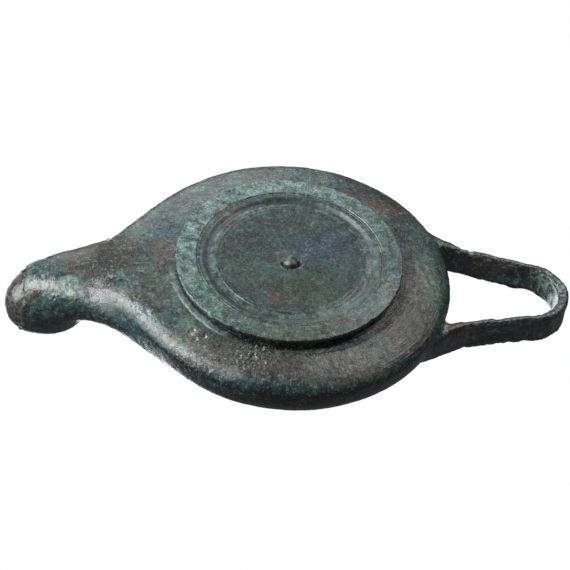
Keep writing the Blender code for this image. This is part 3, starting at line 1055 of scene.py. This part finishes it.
masks = {  # where each starts and is full, then its least and most if they aren't 0 and 1
    "teal": (0.3, 0.68),
    "green": (0.46, 0.62, 0, 0.75),
    "olive": (0.5, 0.64, 0, 0.8),
    "bareTip": (89.4, 90.4),
    "stain": (0.3, 0.56, 0.25),
    "stainEdge": (1.15, 0.55),
    "footLow": (2.9, 2.2),
    "footRim": (39.3, 38.8),
    "ring": (foot["ring"] - 0.2, foot["ring"] + 0.6),
    "ringWorn": (0.36, 0.6, 0.15, 0.95),
    "ringLitSide": (-26, 30, 0.12, 0.85),
    # painted shadow and dirt on the foot's near edge
    "shadowInner": (foot["radius"] - 0.35, foot["radius"] - 0.05),
    "shadowOuter": (40.6, 39.2),
    "shadowUp": (0.25, 0.7),
    "shadowNear": (8, -16),
    "fillet": (1.6, 0.3),
    "filletWorn": (0.4, 0.6, 0, 0.6),
    "sunk": (foot["ring"], foot["ring"] - 3),
    "sunkTeal": (0.62, 0.4, 0.1, 0.4),
    "lip": (1.8, 0.4),
    "lipLow": (6, 5),
    "lipEnds": (0.56, 0.3),
    "scored": (0.26, 0.06),
    "strap": (-57, -60),
    "strapWorn": (0.32, 0.52, 0.3, 1),
    "cove": (1.6, 0.9),
    "hollow": (0.38, 0.12),
    "hollowInCove": (1, 0, 0.15),
    "hollowAtLip": (1, 0, 0.2),
    "proud": (0.64, 0.92),
    "proudOnStrap": (-56, -60, 0.34, 0.6),
    "still": (0, 1, 1, 0.45),  # the sunk floor has fewer specks
    "dots": (0.58, 0.7, 0, 0.55),
    "pores": (0.4, 0.3, 0, 0.6),
    "flecks": (0.56, 0.64),
    "flecksOnFoot": (0, 1, 0.22, 0.34),
    "fineShade": (0.27, 0.73, -0.4, 0.4),
    "footGrit": (0.36, 0.62, 0.7, 1.26),
    "footMottle": (0.36, 0.6, 0.82, 1.14),
    "bodyGrit": (0.34, 0.66, 0.74, 1.26),
    "bodyMottle": (0.36, 0.62, 0.8, 1.2),
    "cloudShade": (0.3, 0.7, 0.46, 0.86),
    "nubDull": (5.5, 4, 0, 0.12),
    "crustInCove": (0, 1, 1, 0.5),
    "crustOnBare": (0, 1, 1, 0.45),
}
stains = (  # colour, strength, centre and half sizes
    ("brown", 0.9, (59.5, 5, 6), (12, 12.5, 9)),
    ("brown", 0.7, (70, 4, 9), (9, 9, 8)),
    ("blue", 0.5, (58, -26, 10), (14, 9, 7)),
    ("mauve", 0.55, (72, -6, 8), (9, 6, 6)),
    ("brown", 0.6, (64, -8, 7), (6, 5, 5)),
    # painted shade on the lower near side, which faces away from the light
    ("dirt", 0.85, (4, -54, 13), (52, 12, 7)),
    # painted shade on the lower near side
    ("dirt", 0.5, (32, -46, 11), (18, 9, 7)),
    ("blue", 0.6, (24, -48, 9), (18, 7, 6)),
    ("green", 0.7, (-49, -2, 5), (5, 18, 6)),
    ("brown", 0.5, (-38, 24, 4), (7, 9, 4)),
    ("olive", 0.6, (-2, -35.5, 0.5), (22, 5, 3)),
    ("mauve", 0.7, (30, -34.5, 4), (8, 6, 5)),
    ("bare", 0.8, (13, -41.5, 3), (10, 6.5, 5)),
    ("brown", 0.7, (5, -46, 4), (9, 6, 5)),
    ("dirt", 0.5, (60.5, 3, 6), (10, 9, 8)),
    ("mauve", 0.75, (22, -43, 3), (17, 8, 6)),
    ("mauve", 0.8, (-14, -44, 3), (26, 9, 7)),
    ("mauve", 0.85, (-38, -25, 3), (13, 17, 6)),
    ("mauve", 0.6, (-41, -4, 4), (6, 14, 6)),
    ("mauve", 0.45, (46, -14, 4), (9, 9, 5)),
    ("brown", 0.75, (-26, 36, 4), (15, 5, 4)),
    ("rust", 0.6, (-33, 29.5, 4), (8, 4, 4)),
    ("rust", 0.45, (-66, 15.5, 11), (6, 3.5, 2.5)),
    ("rust", 0.4, (-57.5, -19.5, 10.5), (4, 3, 2)),
    ("blue", 0.5, (38, 18, 5), (12, 16, 5)),
    ("blue", 0.95, (-12, 7, 1), (15, 11, 3)),
    ("olive", 0.9, (0, -16, 1), (21, 9, 3)),
    ("green", 0.75, (-11, -19, 1), (10, 6.5, 3)),
    ("green", 0.5, (17, -4, 1), (7, 10, 3)),
    ("blue", 0.8, (11, -18.5, 1), (5, 3.2, 3)),
    ("brown", 0.8, (14.5, 9.5, 1), (5, 4.5, 3)),
    ("brown", 0.55, (7, 18, 1), (5.5, 2.6, 3)),
    ("rust", 0.75, (5.5, -17.5, 1), (2.6, 3.6, 3)),
    ("mauve", 0.6, (19.8, 20, 1), (5, 5, 3)),
    ("mauve", 0.85, (3, 0.8, 0.3), (3.8, 2.6, 2)),
    ("mauve", 0.7, (-20, -28, 0.5), (8, 5, 3)),
    ("green", 0.8, (28, -21, 0.5), (10, 13, 3)),
    ("blue", 0.8, (35, 3, 0.5), (4, 10, 3)),
    # pale corrosion with painted light on the loop end's inner face, which faces the light
    ("pale", 0.95, (-93.5, 2, 12), (5, 11, 7)),
    ("dirt", 0.6, (-66, 15, 14), (18, 5, 7)),
    # pale corrosion with painted light on the loop's end
    ("pale", 0.95, (-88.5, 8, 11.5), (8, 8, 8)),
    ("mauve", 0.7, (-57, -19, 10), (8, 5, 3)),
    # painted highlight on the cove's slope that faces the light
    ("pale", 0.55, (-28.2, 7, 0.8), (3.6, 13, 3)),
    # pale corrosion with painted light on the loop's end
    ("pale", 0.75, (-90, 6, 12), (8, 9, 8)),
    ("pale", 0.3, (2, 34.5, 0.5), (24, 5, 3)),
    ("dirt", 0.5, (20, -40.5, 4), (22, 8, 6)),
    ("pale", 0.6, (72, -7, 8.5), (7, 4, 4)),
    # painted light on the cove's side that faces away from the light
    ("pale", 0.35, (28.4, -4, 0.8), (3.2, 11, 3)),
    ("mauve", 0.6, (93, -2, 19), (6, 9, 9)),
    # painted shade on the neck beside its highlight
    ("dirt", 0.7, (63, -8, 7.5), (8, 5.5, 5)),
    ("rust", 0.45, (43, 4, 3.5), (5, 7, 4)),
    ("rust", 0.8, (-58, -20, 12), (7, 5, 4)),
    ("rust", 0.5, (-71, 14, 13.5), (8, 4, 3)),
)


bronze = bpy.data.materials.new("agedBronze")
bronze.use_nodes = True
bronzeTree = bronze.node_tree


def node(kind, inputs, output=0, **settings):
    return put(bronzeTree, kind, inputs, output, **settings)


def sums(operation, a, b=0.0):
    return node("Math", {0: a, 1: b}, operation=operation)


def plus(a, b):
    return sums("ADD", a, b)


def times(a, b):
    return sums("MULTIPLY", a, b)


def gapTo(value, centre):
    return sums("ABSOLUTE", sums("SUBTRACT", value, centre))


def vectors(operation, a, b):
    return node("VectorMath", {0: a, 1: b}, operation=operation)


def scaled(vector, by):
    return node("VectorMath", {0: vector, 3: by}, operation="SCALE")


def between(value, low, high, bottom=0.0, most=1.0):
    places = {"Value": value, "From Min": low, "From Max": high, "To Min": bottom, "To Max": most}
    return node("MapRange", places, interpolation_type="SMOOTHSTEP")


def mask(value, name):
    return between(value, *masks[name])


def grain(where, name):
    scale, detail, rough = grains[name]
    return node("TexNoise", {"Vector": where, "Scale": scale, "Detail": detail, "Roughness": rough})


def mixed(amount, a, b, mode="MIX"):
    colours = []
    for colour in (a, b):
        colours.append(colour if isinstance(colour, bpy.types.NodeSocket) else (*colour, 1.0))
    return node("Mix", {0: amount, 6: colours[0], 7: colours[1]}, 2, data_type="RGBA", blend_type=mode)


def shadedBy(colour, shade):
    tone = node("CombineColor", {0: shade, 1: shade, 2: shade})
    return mixed(1.0, colour, tone, "MULTIPLY")


def lengthOf(vector):
    return node("VectorMath", {0: vector}, 1, operation="LENGTH")


def stainMask(where, centre, size):
    away = vectors("DIVIDE", vectors("SUBTRACT", where, centre), size)
    return mask(lengthOf(away), "stainEdge")


def makePatina():
    shader = bronzeTree.nodes["Principled BSDF"]
    at = node("TexCoord", {}, "Object")
    at = scaled(at, 1.0 / mm)
    x, y, z = (node("SeparateXYZ", {0: at}, k) for k in range(3))
    r = lengthOf(node("CombineXYZ", {0: x, 1: y}))
    turn = sums("ARCTAN2", y, x)
    scale, detail, far = patina["ragged"]
    wander = node("TexNoise", {"Vector": at, "Scale": scale, "Detail": detail}, 1)
    wander = scaled(vectors("SUBTRACT", wander, (0.5, 0.5, 0.5)), far)
    ragged = vectors("ADD", at, wander)
    cavity = node("Attribute", {}, 2, attribute_name="cavity")

    # Broad clouds of colour, the bare tip of the nozzle, and stains, some of them painted light and
    # shade
    clouds = grain(at, "clouds")
    mottle = grain(at, "mottle")
    fine = grain(at, "fine")
    grit = grain(at, "grit")
    specks = grain(at, "specks")
    colour = mixed(mask(mottle, "teal"), patina["deep"], patina["teal"])

    def coat(name, amount, strength=None):
        nonlocal colour
        if strength is not None:
            amount = times(amount, strength)
        colour = mixed(amount, colour, patina[name])

    for name in ("green", "olive"):
        drift = vectors("ADD", at, shifts[name])
        coat(name, mask(grain(drift, name), name))
    bare = mask(plus(x, times(mottle, patina["tipWander"])), "bareTip")
    coat("bare", bare, patina["tipBare"])
    for name, strength, centre, size in stains:
        stain = stainMask(ragged, centre, size)
        coat(name, stain, between(mottle, *masks["stain"], strength))

    # The foot: a pale ring, worn in patches and paler towards the lit side as painted light, its near
    # edge darkened with dirt and painted shadow, and a pale line where its turning stands proud
    low = mask(z, "footLow")
    onFoot = times(low, mask(r, "footRim"))
    ring = times(onFoot, mask(r, "ring"))
    worn = mask(mottle, "ringWorn")
    # painted light: the ring is paler towards the side the light falls from
    side = node("CombineXYZ", {0: x, 1: y})
    side = node("VectorMath", {0: side, 1: patina["litSide"]}, 1, operation="DOT_PRODUCT")
    side = mask(side, "ringLitSide")
    ring = times(ring, times(worn, side))
    coat("pale", ring)
    # dirt and painted shadow on the side of the foot's edge that faces away from the light
    shadowedNearEdge = times(mask(r, "shadowInner"), mask(z, "shadowUp"))
    shadowedNearEdge = times(shadowedNearEdge, times(mask(r, "shadowOuter"), mask(y, "shadowNear")))
    coat("dirt", shadowedNearEdge, patina["edgeDirtAndShadow"])
    fillet = mask(gapTo(r, foot["fillet"][0]), "fillet")
    fillet = times(onFoot, times(fillet, mask(mottle, "filletWorn")))
    coat("pale", fillet)
    sunk = times(onFoot, mask(r, "sunk"))
    coat("teal", sunk, mask(mottle, "sunkTeal"))

    # A welt of corrosion beside the foot, painted pale with a highlight on its lit side, and a line
    # scored round its ring
    lip = gapTo(r, patina["lipRadius"])
    lip = times(mask(lip, "lip"), mask(z, "lipLow"))
    aside = sums("ABSOLUTE", plus(turn, patina["lipTurn"]))
    lip = times(lip, mask(aside, "lipEnds"))
    coat("pale", lip, patina["lipPaleAndHighlight"])
    scored = gapTo(r, patina["scoredRadius"])
    scored = times(onFoot, mask(scored, "scored"))
    coat("dirt", scored, patina["scoredDirt"])

    # The strap's lower edge, rubbed pale in patches, with a painted highlight along it
    slope = tan(handle["tilt"])
    edge = plus(z, times(x, slope))
    edgeAt = handle["rootZ"] - handle["halfHeight"] - handle["root"][0] * slope
    fading, full = patina["strapEdge"]
    edge = times(between(edge, edgeAt + fading, edgeAt + full), mask(x, "strap"))
    coat("pale", edge, mask(mottle, "strapWorn"))

    # Dirt in the hollows, pale corrosion on the edges
    cove = gapTo(r, 0.5 * (foot["coveFrom"] + foot["coveTo"]))
    cove = times(onFoot, mask(cove, "cove"))
    hollow = times(mask(cavity, "hollow"), mask(cove, "hollowInCove"))
    hollow = times(hollow, mask(lip, "hollowAtLip"))
    coat("dirt", hollow, patina["hollowDirt"])
    coat("pale", mask(cavity, "proud"), mask(x, "proudOnStrap"))
    still = mask(sunk, "still")
    coat("pale", mask(specks, "dots"), still)
    coat("dirt", mask(specks, "pores"), still)
    coat("pale", mask(grit, "flecks"), mask(onFoot, "flecksOnFoot"))

    # Light and dark blotches over all of it
    shade = mask(fine, "fineShade")
    shade = plus(times(shade, still), 1.0)
    footTone = mask(grit, "footGrit")
    bodyTone = mask(grit, "bodyGrit")
    bodyTone = times(bodyTone, mask(mottle, "bodyMottle"))
    footTone = times(footTone, mask(mottle, "footMottle"))
    tone = node("Mix", {0: onFoot, 2: bodyTone, 3: footTone}, data_type="FLOAT")
    colour = shadedBy(colour, times(shade, tone))
    shade = mask(clouds, "cloudShade")
    shade = times(shade, between(sunk, 0.0, 1.0, 1.0, patina["sunkShade"]))
    colour = shadedBy(colour, shade)
    bronzeTree.links.new(colour, shader.inputs["Base Color"])

    # Sheen of the burnished skin, dulled by the corrosion
    rough = between(fine, 0.3, 0.7, *patina["roughness"])
    rough = plus(rough, times(onFoot, patina["footDull"]))
    rough = plus(rough, times(cove, patina["coveDull"]))
    rough = plus(rough, mask(r, "nubDull"))
    bronzeTree.links.new(rough, shader.inputs["Roughness"])
    shader.inputs["IOR"].default_value = patina["ior"]
    shader.inputs["Metallic"].default_value = 0.0

    # Crust, fine grain and the marks of the lathe
    outward, around = patina["latheTurns"]
    along = node("CombineXYZ", {0: times(r, outward), 1: times(turn, around), 2: 0.0})
    lathe = grain(along, "lathe")
    crust = between(onFoot, 0.0, 1.0, patina["crustBump"], patina["footBump"])
    crust = times(crust, mask(cove, "crustInCove"))
    crust = times(crust, mask(bare, "crustOnBare"))
    height = times(fine, crust)
    for mark, high in ((specks, "fineBump"), (lathe, "scratchBump"), (lip, "lipBump")):
        height = plus(height, times(mark, patina[high]))
    height = sums("SUBTRACT", height, times(scored, patina["scoredDepth"]))
    brushed = times(stainMask(ragged, *patina["brushed"]), patina["brushBump"])
    height = plus(height, times(lathe, brushed))
    normal = node("Bump", {"Strength": 1.0, "Distance": mm, "Height": height})
    bronzeTree.links.new(normal, shader.inputs["Normal"])


makePatina()
lamp.data.materials.clear()
lamp.data.materials.append(bronze)
print("patina", len(bronzeTree.nodes), "nodes")

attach(lamp, "root")
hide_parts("lamp")
